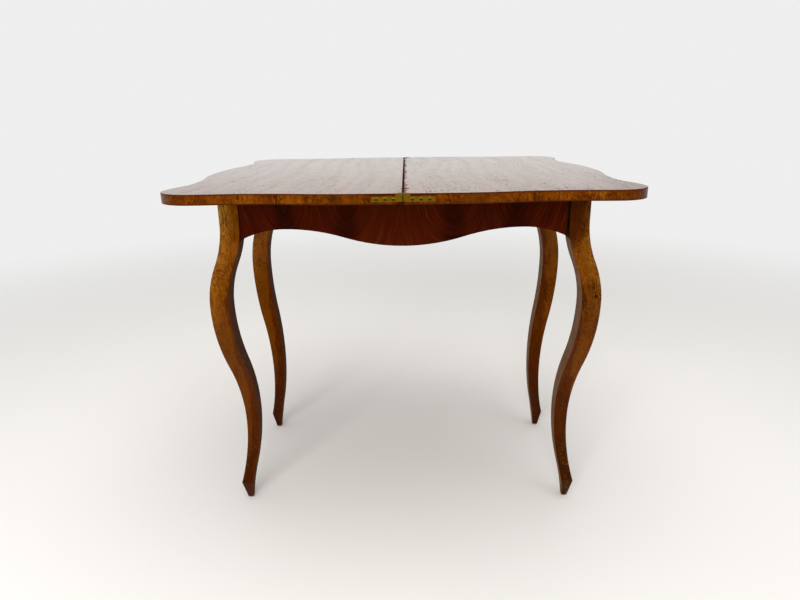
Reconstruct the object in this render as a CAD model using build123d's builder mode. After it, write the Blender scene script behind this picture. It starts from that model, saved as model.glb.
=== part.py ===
from build123d import *
import os

# Swivel-top folding card table, open, with the joint of its two leaves along Y.
# Millimetres, +Z up, the floor at zero and the origin under the middle of the open top.

os.makedirs("parts", exist_ok=True)

# Driving sizes of the table
table_height = 735.0
leaf_depth = 420.0
leaf_length = 826.0
leaf_thickness = 18.0
end_overhang = 37.5
side_overhang = 34.0
leg_section = 41.0
apron_thickness = 22.0

# Fits and clearances
leaf_clearance = 0.4
joint_gap = 1.6
wood_fit = 0.15
screw_fit = 0.1
running_fit = 0.08
cut_overrun = 5.0

# Veneers and edge bands
veneer_thickness = 1.2
apron_veneer_thickness = 1.5
band_thickness = 3.0
arris_radius = 0.9

# Outline of the open top, one quarter, from the joint round to the long edge
end_flat = 82.0
end_hollow_place = 268.0
end_hollow_depth = 17.5
end_swell_depth = 13.5
corner_radius = 60.0
side_swell_depth = 5.0
side_hollow_place = 232.0
side_hollow_depth = 21.5
side_flat = 24.0

# Legs: offsets are outward from the post's centre line, heights are above the floor,
# and the shoulder and the knee are measured down from the top of the frame
shoulder_drop = 71.6
knee_drop = 236.6
knee_outside = 48.4
knee_inside = 8.2
ankle_outside = 7.6
ankle_outside_height = 190.0
ankle_inside = 21.9
ankle_inside_height = 215.0
instep_inside = 6.5
instep_height = 80.0
toe_outside = 26.9
toe_height = 44.0
foot_outside = 18.0
foot_inside = 5.5
leg_blank = 120.0
leg_outer_round = 3.0

# Nail glides under the feet
glide_height = 2.5
glide_radius = 5.5
glide_crown = 1.0
glide_nail_radius = 1.2
glide_nail_length = 14.0

# Aprons: depths are below the top of the frame
apron_setback = 2.0
apron_end_depth = 103.6
apron_arch_depth = 81.6
apron_belly_depth = 118.6
apron_arch_place_share = 0.73
side_arch_depth = 88.0
side_belly_depth = 104.0
shrinkage_gap = 3.5
tenon_thickness = 8.0
tenon_length = 20.0
tenon_height = 56.0
tenon_drop = 12.0
rail_lap = 10.0

# Rail that carries the swivel, and its stop
rail_width = 90.0
rail_thickness = 22.0
stop_radius = 80.0
peg_radius = 5.0
peg_length = 19.0
peg_socket = 14.0
peg_clearance = 0.3
groove_depth = 6.0

# Swivel bolt and its plate
plate_size = 70.0
plate_corner = 8.0
plate_thickness = 3.0
plate_screw_inset = 10.0
bolt_radius = 6.0
bolt_head_radius = 12.0
bolt_head_height = 4.0
bolt_tail = 4.0
washer_radius = 17.0
washer_thickness = 2.5
nut_flats = 19.0
nut_height = 10.0

# Well for the cards
well_floor_thickness = 7.0
well_depth = 59.6
cleat_section = 12.0
partition_thickness = 8.0
partition_inset = 5.0
glue_block_leg = 17.0
glue_block_height = 48.0
glue_block_drop = 6.0
floor_screw_inset = 40.0

# Hinges: places are from the joint, depths are below the playing surface
pin_depth = 3.0
pin_offset = 3.2
pin_radius = 1.2
pin_blind = 0.8
fold_clearance = 0.15
arm_length = 52.0
arm_height = 8.5
arm_drop = 5.0
arm_thickness = 2.5
arm_corner = 0.8
block_length = 12.0
block_height = 12.3
block_drop = 0.2
block_thickness = 4.0
link_thickness = 3.0
link_end_radius = 2.7
link_clearance = 0.3
hinge_screw_places = (15.3, 29.2, 43.4)

# Screws
hinge_screw_length = 18.0
plate_screw_length = 12.0
floor_screw_length = 15.0
screw_radius = 1.4
screw_head_radius = 2.75
screw_head_height = 1.5
screw_slot_width = 0.6
screw_slot_depth = 0.6

# Levels and places worked out from the sizes above
leaf_bottom = table_height - leaf_thickness
frame_top = leaf_bottom - leaf_clearance
frame_length = leaf_length - end_overhang * 2
frame_width = leaf_depth - side_overhang * 2
half_length = leaf_length / 2
post_x = (frame_length - leg_section) / 2
post_y = (frame_width - leg_section) / 2
post_inner_x = post_x - leg_section / 2
post_inner_y = post_y - leg_section / 2
apron_face_x = frame_length / 2 - apron_setback
apron_face_y = frame_width / 2 - apron_setback
apron_inner_x = apron_face_x - apron_thickness
apron_inner_y = apron_face_y - apron_thickness
tenon_x = apron_face_x - apron_thickness / 2
tenon_y = apron_face_y - apron_thickness / 2
tenon_high = frame_top - tenon_drop
tenon_low = tenon_high - tenon_height
half_tenon = tenon_thickness / 2
shoulder_height = frame_top - shoulder_drop
knee_height = frame_top - knee_drop
foot_centre = (foot_outside + foot_inside) / 2
pivot = (-leaf_depth / 4, leaf_depth / 4)
rail_bottom = frame_top - rail_thickness
stop_place = (pivot[0], pivot[1] - stop_radius)
well_floor_top = frame_top - well_depth
well_floor_bottom = well_floor_top - well_floor_thickness
well_left = pivot[0] + rail_width / 2 - partition_inset - partition_thickness
pin_level = table_height - pin_depth
block_face = half_length - block_thickness
link_face = block_face - link_clearance
link_back = link_face - link_thickness
core_top = table_height - veneer_thickness
arm_top = table_height - arm_drop
arm_bottom = arm_top - arm_height
arm_level = (arm_top + arm_bottom) / 2
block_top = table_height - block_drop
block_bottom = block_top - block_height

corners = {
    "front_left": (-1, -1),
    "front_right": (1, -1),
    "rear_left": (-1, 1),
    "rear_right": (1, 1),
}

hang = (Align.CENTER, Align.CENTER, Align.MAX)
stand = (Align.CENTER, Align.CENTER, Align.MIN)


def keep(piece, name):
    """Name a finished piece and write it."""
    piece.part.label = name
    export_step(piece.part, f"parts/{name}.step")


def double_arc(start, end, heading):
    """Two equal arcs that leave the start and reach the end along one heading."""
    middle = ((start[0] + end[0]) / 2, (start[1] + end[1]) / 2)
    TangentArc(start, middle, tangent=heading)
    TangentArc(end, middle, tangent=(-heading[0], -heading[1]))


def cut_box(low, high):
    """Take the box between two corners out of the current part."""
    size = [b - a for a, b in zip(low, high)]
    middle = [(a + b) / 2 for a, b in zip(low, high)]
    with Locations(tuple(middle)):
        Box(*size, mode=Mode.SUBTRACT)


def add_box(low, high):
    """Add the box between two corners to the current part."""
    size = [b - a for a, b in zip(low, high)]
    middle = [(a + b) / 2 for a, b in zip(low, high)]
    with Locations(tuple(middle)):
        Box(*size)


def screw(place, length):
    """A slotted countersunk screw, its head flush with the place and its shank behind it."""
    with Locations(place):
        Cone(screw_radius, screw_head_radius, screw_head_height, align=hang)
        Cylinder(screw_radius, length, align=hang)
        Box(screw_head_radius * 2, screw_slot_width, screw_slot_depth, align=hang, mode=Mode.SUBTRACT)


def screw_hole(place, length):
    """Room for a screw and its head in the pieces that it passes through."""
    with Locations(place):
        Cone(
            screw_radius + screw_fit,
            screw_head_radius + screw_fit,
            screw_head_height,
            align=hang,
            mode=Mode.SUBTRACT,
        )
        Cylinder(screw_radius + screw_fit, length + screw_fit, align=hang, mode=Mode.SUBTRACT)


# Legs and glides

def saw_line(plane):
    """A leg from one side: outward from the post's centre line and up from the foot."""
    half = leg_section / 2
    up = (0, 1)
    down = (0, -1)
    foot_out = (foot_outside, glide_height)
    foot_in = (foot_inside, glide_height)
    toe = (toe_outside, toe_height)
    ankle_out = (ankle_outside, ankle_outside_height)
    knee_out = (knee_outside, knee_height)
    shoulder_out = (half, shoulder_height)
    top_out = (half, frame_top)
    top_in = (-half, frame_top)
    shoulder_in = (-half, shoulder_height)
    knee_in = (knee_inside, knee_height)
    ankle_in = (-ankle_inside, ankle_inside_height)
    instep = (-instep_inside, instep_height)
    with BuildSketch(plane) as side_view:
        with BuildLine():
            Line(foot_out, toe)
            TangentArc(ankle_out, toe, tangent=down)
            double_arc(ankle_out, knee_out, up)
            double_arc(knee_out, shoulder_out, up)
            Line(shoulder_out, top_out)
            Line(top_out, top_in)
            Line(top_in, shoulder_in)
            double_arc(shoulder_in, knee_in, down)
            double_arc(knee_in, ankle_in, down)
            shin = TangentArc(ankle_in, instep, tangent=down)
            TangentArc(instep, foot_in, tangent=shin % 1)
            Line(foot_in, foot_out)
        make_face()
    return side_view.sketch


def outward_arrises(piece, centre, side_x, side_y):
    """The long edges on the corner of a leg that faces away from the table's middle."""
    found = ShapeList()
    for edge in piece.edges():
        spot = edge @ 0.5
        out_x = (spot.X - centre[0]) * side_x
        out_y = (spot.Y - centre[1]) * side_y
        if abs(out_x - out_y) < wood_fit and out_x > knee_inside:
            found.append(edge)
    return found


def mortise(low, high):
    """A socket for a tenon, a little larger than the tenon all round."""
    cut_box([v - wood_fit for v in low], [v + wood_fit for v in high])


for corner, (side_x, side_y) in corners.items():
    centre = (side_x * post_x, side_y * post_y, 0)
    with BuildPart() as leg:
        front_view = Plane(centre, x_dir=(side_x, 0, 0), z_dir=(0, -side_x, 0))
        side_view = Plane(centre, x_dir=(0, side_y, 0), z_dir=(side_y, 0, 0))
        extrude(saw_line(front_view), amount=leg_blank / 2, both=True)
        extrude(saw_line(side_view), amount=leg_blank / 2, both=True, mode=Mode.INTERSECT)
        fillet(outward_arrises(leg, centre, side_x, side_y), leg_outer_round)
        x_ends = sorted((side_x * post_inner_x, side_x * (post_inner_x + tenon_length)))
        y_ends = sorted((side_y * post_inner_y, side_y * (post_inner_y + tenon_length)))
        mortise(
            (x_ends[0], side_y * tenon_y - half_tenon, tenon_low),
            (x_ends[1], side_y * tenon_y + half_tenon, tenon_high),
        )
        mortise(
            (side_x * tenon_x - half_tenon, y_ends[0], tenon_low),
            (side_x * tenon_x + half_tenon, y_ends[1], tenon_high),
        )
        foot = Plane((side_x * (post_x + foot_centre), side_y * (post_y + foot_centre), glide_height))
        with BuildSketch(foot):
            Circle(glide_nail_radius + screw_fit)
        extrude(amount=glide_nail_length + screw_fit, mode=Mode.SUBTRACT)
    keep(leg, f"leg_{corner}")

with BuildPart() as foot_glides:
    with Locations(*[
        (side_x * (post_x + foot_centre), side_y * (post_y + foot_centre), 0)
        for side_x, side_y in corners.values()
    ]):
        Cylinder(glide_radius, glide_height, align=stand)
        Cylinder(glide_nail_radius, glide_height + glide_nail_length, align=stand)
    fillet(foot_glides.edges().group_by(Axis.Z)[0], glide_crown)
keep(foot_glides, "foot_glides")


# Aprons, with their tenons, and the veneers on their faces

def apron_outline(face, half, end_depth, arch_depth, belly_depth):
    """An apron from the front: straight on top, arched at both ends, hanging in the middle."""
    arch = half * apron_arch_place_share
    with BuildSketch(face) as outline:
        with BuildLine():
            TangentArc((arch, frame_top - arch_depth), (half, frame_top - end_depth), tangent=(1, 0))
            double_arc((arch, frame_top - arch_depth), (0, frame_top - belly_depth), (-1, 0))
            Line((half, frame_top - end_depth), (half, frame_top))
            Line((half, frame_top), (0, frame_top))
            mirror(about=Plane.YZ)
        make_face()
    return outline.sketch


def long_apron(side_y, thickness, setback, right_gap):
    """The board of a long apron in the current part, its face set back behind the apron's face."""
    face = Plane((0, side_y * (apron_face_y - setback), 0), x_dir=(1, 0, 0), z_dir=(0, -1, 0))
    outline = apron_outline(face, post_inner_x, apron_end_depth, apron_arch_depth, apron_belly_depth)
    extrude(outline, amount=side_y * thickness)
    if right_gap > 0:
        low = (post_inner_x - right_gap, -frame_width, 0)
        cut_box(low, (frame_length, frame_width, table_height))


def side_apron(side_x, thickness, setback):
    """The board of a side apron in the current part."""
    face = Plane((side_x * (apron_face_x - setback), 0, 0), x_dir=(0, 1, 0), z_dir=(1, 0, 0))
    outline = apron_outline(face, post_inner_y, apron_end_depth, side_arch_depth, side_belly_depth)
    extrude(outline, amount=-side_x * thickness)


board_thickness = apron_thickness - apron_veneer_thickness

for name, side_y, gap in (("front", -1, shrinkage_gap), ("rear", 1, 0.0)):
    with BuildPart() as apron:
        long_apron(side_y, board_thickness, apron_veneer_thickness, gap)
        for side_x, shoulder in ((-1, post_inner_x), (1, post_inner_x - gap)):
            ends = sorted((side_x * shoulder, side_x * (post_inner_x + tenon_length)))
            add_box(
                (ends[0], side_y * tenon_y - half_tenon, tenon_low),
                (ends[1], side_y * tenon_y + half_tenon, tenon_high),
            )
        lap_depth = rail_lap + wood_fit
        lap = sorted((side_y * (apron_inner_y - cut_overrun), side_y * (apron_inner_y + lap_depth)))
        cut_box(
            (pivot[0] - rail_width / 2 - wood_fit, lap[0], rail_bottom),
            (pivot[0] + rail_width / 2 + wood_fit, lap[1], frame_top + cut_overrun),
        )
    keep(apron, f"apron_{name}")
    with BuildPart() as apron_veneer:
        long_apron(side_y, apron_veneer_thickness, 0, gap)
    keep(apron_veneer, f"apron_veneer_{name}")

for name, side_x in (("left", -1), ("right", 1)):
    with BuildPart() as apron:
        side_apron(side_x, board_thickness, apron_veneer_thickness)
        for side_y in (-1, 1):
            ends = sorted((side_y * post_inner_y, side_y * (post_inner_y + tenon_length)))
            add_box(
                (side_x * tenon_x - half_tenon, ends[0], tenon_low),
                (side_x * tenon_x + half_tenon, ends[1], tenon_high),
            )
    keep(apron, f"apron_{name}")
    with BuildPart() as apron_veneer:
        side_apron(side_x, apron_veneer_thickness, 0)
    keep(apron_veneer, f"apron_veneer_{name}")

with BuildPart() as glue_blocks:
    for side_x, side_y in corners.values():
        for corner_x, corner_y in ((post_inner_x, apron_inner_y), (apron_inner_x, post_inner_y)):
            with BuildSketch(Plane.XY.offset(frame_top - glue_block_drop - glue_block_height)):
                with BuildLine():
                    Polyline(
                        (side_x * corner_x, side_y * corner_y),
                        (side_x * (corner_x - glue_block_leg), side_y * corner_y),
                        (side_x * corner_x, side_y * (corner_y - glue_block_leg)),
                        close=True,
                    )
                make_face()
            extrude(amount=glue_block_height)
keep(glue_blocks, "glue_blocks")


# Swivel rail and stop peg

with BuildPart() as pivot_rail:
    add_box(
        (pivot[0] - rail_width / 2, -apron_inner_y - rail_lap, rail_bottom),
        (pivot[0] + rail_width / 2, apron_inner_y + rail_lap, frame_top),
    )
    with Locations((pivot[0], pivot[1], frame_top)):
        Hole(bolt_radius + running_fit)
    with Locations((stop_place[0], stop_place[1], frame_top)):
        Hole(peg_radius, depth=peg_socket)
keep(pivot_rail, "pivot_rail")

with BuildPart() as stop_peg:
    with Locations((stop_place[0], stop_place[1], frame_top - peg_socket)):
        Cylinder(peg_radius, peg_length, align=stand)
    chamfer(stop_peg.edges().group_by(Axis.Z)[-1], arris_radius)
keep(stop_peg, "stop_peg")


# Well for the cards, beside the rail

floor_screw_first = well_left + floor_screw_inset
floor_screw_last = post_inner_x - floor_screw_inset
floor_screw_middle = (floor_screw_first + floor_screw_last) / 2
floor_screw_planes = [
    Plane((x, side * (apron_inner_y - cleat_section / 2), well_floor_top))
    for side in (-1, 1)
    for x in (floor_screw_first, floor_screw_middle, floor_screw_last)
]

with BuildPart() as well_floor:
    add_box((well_left, -apron_inner_y, well_floor_bottom), (apron_inner_x, apron_inner_y, well_floor_top))
    for side in (-1, 1):
        ends = sorted((side * (post_inner_y - wood_fit), side * frame_width))
        cut_box(
            (post_inner_x - wood_fit, ends[0], well_floor_bottom - cut_overrun),
            (frame_length, ends[1], well_floor_top + cut_overrun),
        )
    for place in floor_screw_planes:
        screw_hole(place, floor_screw_length)
keep(well_floor, "well_floor")

with BuildPart() as well_cleats:
    cleat_bottom = well_floor_bottom - cleat_section
    for side in (-1, 1):
        ends = sorted((side * (apron_inner_y - cleat_section), side * apron_inner_y))
        add_box(
            (well_left + cleat_section, ends[0], cleat_bottom),
            (post_inner_x - shrinkage_gap, ends[1], well_floor_bottom),
        )
    add_box(
        (well_left, -apron_inner_y, cleat_bottom),
        (well_left + cleat_section - wood_fit, apron_inner_y, well_floor_bottom),
    )
    add_box(
        (apron_inner_x - cleat_section, -post_inner_y + glue_block_leg, cleat_bottom),
        (apron_inner_x, post_inner_y - glue_block_leg, well_floor_bottom),
    )
    for place in floor_screw_planes:
        screw_hole(place, floor_screw_length)
keep(well_cleats, "well_cleats")

with BuildPart() as well_screws:
    for place in floor_screw_planes:
        screw(place, floor_screw_length)
keep(well_screws, "well_screws")

with BuildPart() as well_partition:
    add_box(
        (well_left, -apron_inner_y, well_floor_top),
        (well_left + partition_thickness, apron_inner_y, rail_bottom),
    )
keep(well_partition, "well_partition")


# Swivel plate, bolt, washer and nut, which turn with the lower leaf

plate_screw_reach = plate_size / 2 - plate_screw_inset
plate_screw_spots = [
    (pivot[0] + side_x * plate_screw_reach, pivot[1] + side_y * plate_screw_reach, leaf_bottom)
    for side_x, side_y in corners.values()
]
plate_screw_planes = [Plane(spot, z_dir=(0, 0, -1)) for spot in plate_screw_spots]
head_bottom = leaf_bottom + plate_thickness
washer_top = rail_bottom - leaf_clearance
nut_top = washer_top - washer_thickness
bolt_bottom = nut_top - nut_height - bolt_tail

with BuildPart() as pivot_plate:
    with BuildSketch(Plane((pivot[0], pivot[1], leaf_bottom))):
        RectangleRounded(plate_size, plate_size, plate_corner)
        Circle(bolt_radius, mode=Mode.SUBTRACT)
    extrude(amount=plate_thickness)
    for place in plate_screw_planes:
        screw_hole(place, plate_screw_length)
keep(pivot_plate, "pivot_plate")

with BuildPart() as pivot_bolt:
    with BuildSketch(Plane((pivot[0], pivot[1], head_bottom))):
        Circle(bolt_head_radius)
    extrude(amount=bolt_head_height)
    with BuildSketch(Plane((pivot[0], pivot[1], bolt_bottom))):
        Circle(bolt_radius)
    extrude(amount=head_bottom - bolt_bottom)
    chamfer(pivot_bolt.edges().group_by(Axis.Z)[0], arris_radius)
keep(pivot_bolt, "pivot_bolt")

with BuildPart() as pivot_washer:
    with BuildSketch(Plane((pivot[0], pivot[1], nut_top))):
        Circle(washer_radius)
        Circle(bolt_radius + screw_fit, mode=Mode.SUBTRACT)
    extrude(amount=washer_thickness)
keep(pivot_washer, "pivot_washer")

with BuildPart() as pivot_nut:
    with BuildSketch(Plane((pivot[0], pivot[1], nut_top - nut_height))):
        RegularPolygon(nut_flats / 2, 6, major_radius=False)
        Circle(bolt_radius, mode=Mode.SUBTRACT)
    extrude(amount=nut_height)
keep(pivot_nut, "pivot_nut")

with BuildPart() as pivot_plate_screws:
    for place in plate_screw_planes:
        screw(place, plate_screw_length)
keep(pivot_plate_screws, "pivot_plate_screws")


# Leaves

def top_outline(level, inset=0.0, side=0):
    """The open top from above, drawn in by an inset, or the part of it on one side of the joint."""
    hollow_level = half_length - end_hollow_depth
    swell_level = half_length - end_swell_depth
    side_reach = leaf_depth - side_swell_depth
    corner_start = (side_reach - corner_radius, swell_level)
    corner_end = (side_reach, swell_level - corner_radius)
    hollow_reach = leaf_depth - side_hollow_depth
    with BuildSketch(Plane.XY.offset(level)) as outline:
        with BuildLine():
            Line((0, half_length), (end_flat, half_length))
            double_arc((end_flat, half_length), (end_hollow_place, hollow_level), (1, 0))
            double_arc((end_hollow_place, hollow_level), corner_start, (1, 0))
            TangentArc(corner_start, corner_end, tangent=(1, 0))
            double_arc(corner_end, (hollow_reach, side_hollow_place), (0, -1))
            double_arc((hollow_reach, side_hollow_place), (leaf_depth, side_flat), (0, -1))
            Line((leaf_depth, side_flat), (leaf_depth, 0))
            mirror(about=Plane.XZ)
            mirror(about=Plane.YZ)
        make_face()
        if inset:
            offset(amount=-inset, mode=Mode.REPLACE)
        if side:
            with Locations((side * (joint_gap / 2 + leaf_length / 2), 0)):
                Rectangle(leaf_length, leaf_length + leaf_depth, mode=Mode.INTERSECT)
    return outline.sketch


def leaf_board(side, low, high, inset=0.0):
    """One leaf's outline in the current part, solid from one level to another."""
    extrude(top_outline(low, inset, side), amount=high - low)


def outer_arrises(piece, side, group):
    """The top or bottom edges of a leaf's board, without the one at the joint."""
    edges = piece.edges().group_by(Axis.Z)[group].sort_by(Axis.X)
    return edges[:-1] if side < 0 else edges[1:]


def ease_joint(side):
    """Round the joint's upper arris about the hinge pin, so that the leaves pass as they fold."""
    reach = pin_offset + joint_gap
    with BuildSketch(Plane((0, leaf_length, 0), x_dir=(1, 0, 0), z_dir=(0, -1, 0))) as corner:
        with Locations((side * (pin_offset - reach / 2), pin_level + reach / 2)):
            Rectangle(reach, reach)
        with Locations((side * pin_offset, pin_level)):
            Circle(pin_offset - fold_clearance, mode=Mode.SUBTRACT)
    extrude(corner.sketch, amount=leaf_length * 2, mode=Mode.SUBTRACT)


def cut_hinge_room(side):
    """Recesses for the two hinge plates and the open slots in which their links swing."""
    arm_room = (arm_length, arm_thickness, arm_bottom, arm_top)
    block_room = (block_length, block_thickness, block_bottom, table_height + cut_overrun)
    for end in (-1, 1):
        for reach, depth, low, high in (arm_room, block_room):
            x_ends = sorted((0, side * reach))
            y_ends = sorted((end * (half_length - depth), end * (half_length + cut_overrun)))
            cut_box((x_ends[0], y_ends[0], low), (x_ends[1], y_ends[1], high))
        slot = pin_offset + link_end_radius + link_clearance
        x_ends = sorted((0, side * slot))
        y_ends = sorted((end * (link_back - link_clearance), end * block_face))
        slot_low = pin_level - link_end_radius - link_clearance
        cut_box((x_ends[0], y_ends[0], slot_low), (x_ends[1], y_ends[1], table_height + cut_overrun))


def end_plane(x, reach, level, end):
    """A plane that faces out at the front or the rear end of the joint."""
    return Plane((x, end * reach, level), x_dir=(1, 0, 0), z_dir=(0, end, 0))


def hinge_screw_planes(side):
    """Planes on the hinge plates of one leaf where the screws go in."""
    return [end_plane(side * x, half_length, arm_level, end) for end in (-1, 1) for x in hinge_screw_places]


stop_path = CenterArc((0, 0), stop_radius, start_angle=180, arc_size=90)
leaves = {"lower": (-1, leaf_bottom), "upper": (1, leaf_bottom + veneer_thickness)}

for name, (side, core_bottom) in leaves.items():
    with BuildPart() as leaf_core:
        leaf_board(side, core_bottom, core_top, band_thickness)
        cut_hinge_room(side)
        for place in hinge_screw_planes(side):
            screw_hole(place, hinge_screw_length)
        if side < 0:
            with BuildSketch(Plane((pivot[0], pivot[1], leaf_bottom))):
                RectangleRounded(plate_size + wood_fit, plate_size + wood_fit, plate_corner)
            extrude(amount=plate_thickness, mode=Mode.SUBTRACT)
            with BuildSketch(Plane((pivot[0], pivot[1], head_bottom))):
                Circle(bolt_head_radius + wood_fit)
            extrude(amount=bolt_head_height, mode=Mode.SUBTRACT)
            with BuildSketch(Plane((pivot[0], pivot[1], leaf_bottom))):
                SlotArc(stop_path, (peg_radius + peg_clearance) * 2)
            extrude(amount=groove_depth, mode=Mode.SUBTRACT)
            for place in plate_screw_planes:
                screw_hole(place, plate_screw_length)
    keep(leaf_core, f"{name}_leaf_core")

    with BuildPart() as leaf_veneer:
        leaf_board(side, core_top, table_height)
        fillet(outer_arrises(leaf_veneer, side, -1), arris_radius)
        cut_hinge_room(side)
        ease_joint(side)
    keep(leaf_veneer, f"{name}_leaf_veneer")

    with BuildPart() as leaf_band:
        leaf_board(side, core_bottom, core_top)
        if side < 0:
            fillet(outer_arrises(leaf_band, side, 0), arris_radius)
        inner = top_outline(core_bottom, band_thickness)
        extrude(inner, amount=core_top - core_bottom, mode=Mode.SUBTRACT)
        cut_hinge_room(side)
        for place in hinge_screw_planes(side):
            screw_hole(place, hinge_screw_length)
    keep(leaf_band, f"{name}_leaf_band")

    for end_name, end in (("front", -1), ("rear", 1)):
        with BuildPart() as hinge_plate:
            arm = (arm_length, arm_thickness, arm_bottom, arm_top)
            block = (block_length, block_thickness, block_bottom, block_top)
            for reach, depth, low, high in (arm, block):
                x_ends = sorted((side * joint_gap / 2, side * reach))
                y_ends = sorted((end * (half_length - depth), end * half_length))
                add_box((x_ends[0], y_ends[0], low), (x_ends[1], y_ends[1], high))
            far = hinge_plate.edges().filter_by(Axis.Y).sort_by(Axis.X)
            fillet(far[:2] if side < 0 else far[-2:], arm_corner)
            ease_joint(side)
            with BuildSketch(end_plane(side * pin_offset, block_face, pin_level, end)):
                Circle(pin_radius + running_fit)
            extrude(amount=block_thickness - pin_blind, mode=Mode.SUBTRACT)
            for place in hinge_screw_planes(side):
                screw_hole(place, hinge_screw_length)
        keep(hinge_plate, f"hinge_plate_{end_name}_{name}")

    with BuildPart() as hinge_screws:
        for place in hinge_screw_planes(side):
            screw(place, hinge_screw_length)
    keep(hinge_screws, f"hinge_screws_{name}")

with BuildPart() as upper_back_veneer:
    leaf_board(1, leaf_bottom, leaf_bottom + veneer_thickness)
    fillet(outer_arrises(upper_back_veneer, 1, 0), arris_radius)
keep(upper_back_veneer, "upper_leaf_back_veneer")


# Hinge links and pins, between the leaves

for end_name, end in (("front", -1), ("rear", 1)):
    with BuildPart() as hinge_link:
        with BuildSketch(end_plane(0, link_back, pin_level, end)):
            SlotCenterToCenter(pin_offset * 2, link_end_radius * 2)
            with Locations((-pin_offset, 0), (pin_offset, 0)):
                Circle(pin_radius, mode=Mode.SUBTRACT)
        extrude(amount=link_thickness)
    keep(hinge_link, f"hinge_link_{end_name}")

with BuildPart() as hinge_pins:
    pin_length = half_length - pin_blind - link_clearance - link_back
    for end in (-1, 1):
        for side in (-1, 1):
            with BuildSketch(end_plane(side * pin_offset, link_back, pin_level, end)):
                Circle(pin_radius)
            extrude(amount=pin_length)
keep(hinge_pins, "hinge_pins")
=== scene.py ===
import math

import bpy
from mathutils import Matrix, Vector


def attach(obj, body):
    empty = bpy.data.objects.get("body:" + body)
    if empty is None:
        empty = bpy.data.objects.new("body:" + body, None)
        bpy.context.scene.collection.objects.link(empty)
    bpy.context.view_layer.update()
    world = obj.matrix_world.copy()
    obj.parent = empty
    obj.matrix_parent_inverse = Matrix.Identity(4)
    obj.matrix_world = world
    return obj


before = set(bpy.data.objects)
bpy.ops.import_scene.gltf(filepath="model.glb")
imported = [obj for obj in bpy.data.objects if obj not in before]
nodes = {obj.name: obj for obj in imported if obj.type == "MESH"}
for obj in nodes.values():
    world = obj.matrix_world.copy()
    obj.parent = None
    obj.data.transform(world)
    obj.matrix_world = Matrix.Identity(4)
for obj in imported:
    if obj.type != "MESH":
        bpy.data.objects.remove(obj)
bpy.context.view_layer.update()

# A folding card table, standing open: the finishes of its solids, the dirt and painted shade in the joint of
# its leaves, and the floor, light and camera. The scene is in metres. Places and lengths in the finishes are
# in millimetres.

scene = bpy.context.scene
MM = 0.001
VECTOR, FLOAT = "NodeSocketVector", "NodeSocketFloat"

# Places on the table that its finishes follow
POST_X = 355.0
POST_Y = 155.5
LEG_HEIGHT = 720.0
LEAF_FACE = 735.0
LEAF_THICKNESS = 18.0
FRONT_EDGE = 413.0
ARM_REACH = 52.0
APRON_END = 331.0
APRON_MIDDLE = 640.0
SCREW_PLACES = (15.3, 29.2, 43.4)
SCREW_LEVEL = 725.75
SCREW_RADIUS = 2.75


def tone(red, green, blue):
    """A colour as a socket takes it."""
    return (red, green, blue, 1.0)


# Polished woods, from light to dark
# The palest is partly the wood's tone and partly a painted sheen on the outer tops of the legs
PALE_TAN_AND_SHEEN = tone(0.400, 0.200, 0.030)
TAN = tone(0.290, 0.110, 0.010)
GOLDEN = tone(0.235, 0.074, 0.0025)
SCUFFED = tone(0.200, 0.058, 0.007)
AMBER = tone(0.112, 0.028, 0.0006)
RED_BROWN = tone(0.070, 0.0125, 0.0006)
DARK_RED = tone(0.036, 0.0050, 0.0004)
EMBER = tone(0.030, 0.0028, 0.0002)
FLECK = tone(0.015, 0.0030, 0.0004)
# The darkest is painted shade, laid in gaps and on faces that lie in shadow beside the apron
SHADOWED = tone(0.004, 0.002, 0.001)

# Faces of the legs that were never polished
INNER_LEFT = tone(0.055, 0.022, 0.008)
INNER_RIGHT = tone(0.160, 0.075, 0.026)

# Veneer of the leaves
TOP_GROUND = tone(0.225, 0.085, 0.014)
TOP_FIBRE = tone(0.150, 0.048, 0.007)
TOP_SHADE = tone(0.110, 0.030, 0.005)
TOP_GLOW = tone(0.290, 0.115, 0.018)
TOP_FLECK = tone(0.022, 0.006, 0.003)
TOP_CHIP = tone(0.130, 0.045, 0.022)
# The darkest is partly dirt and partly painted shade, along the joint
TOP_DIRT_AND_SHADE = tone(0.014, 0.005, 0.003)

# Band round the leaves
BAND_GROUND = tone(0.155, 0.036, 0.0010)
BAND_FIBRE = tone(0.088, 0.017, 0.0006)
BAND_DARK = tone(0.070, 0.0125, 0.0005)
BAND_LIGHT = tone(0.210, 0.060, 0.0016)
CLOUD_LIGHT = tone(0.250, 0.080, 0.0020)
CLOUD_DARK = tone(0.060, 0.0100, 0.0004)
BAND_PATCH = tone(0.060, 0.0165, 0.0006)

# Crotch veneer of the aprons
CROTCH_GROUND = tone(0.030, 0.0016, 0.0002)
CROTCH_WAVE = tone(0.062, 0.0050, 0.0004)
CROTCH_MIDDLE = tone(0.074, 0.0080, 0.0006)
CROTCH_LINE = tone(0.022, 0.0012, 0.0002)
CROTCH_GLOW = tone(0.110, 0.0190, 0.0008)
CROTCH_PLUME = tone(0.007, 0.0004, 0.0001)
CROTCH_SEAM = tone(0.010, 0.001, 0.0003)

# Softwood, and the dirt on it, and the dark filler of the joint, partly dirt and partly painted shade of the
# gap
PINE_LIGHT = tone(0.42, 0.26, 0.12)
PINE_DARK = tone(0.27, 0.14, 0.055)
PINE_STAIN = tone(0.10, 0.055, 0.025)
EDGE_GRIME = (tone(0.100, 0.036, 0.012), tone(0.036, 0.012, 0.004))
DIRT_AND_SHADE_DARK = tone(0.022, 0.009, 0.004)
DIRT_AND_SHADE_LIGHT = tone(0.070, 0.026, 0.009)

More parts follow.
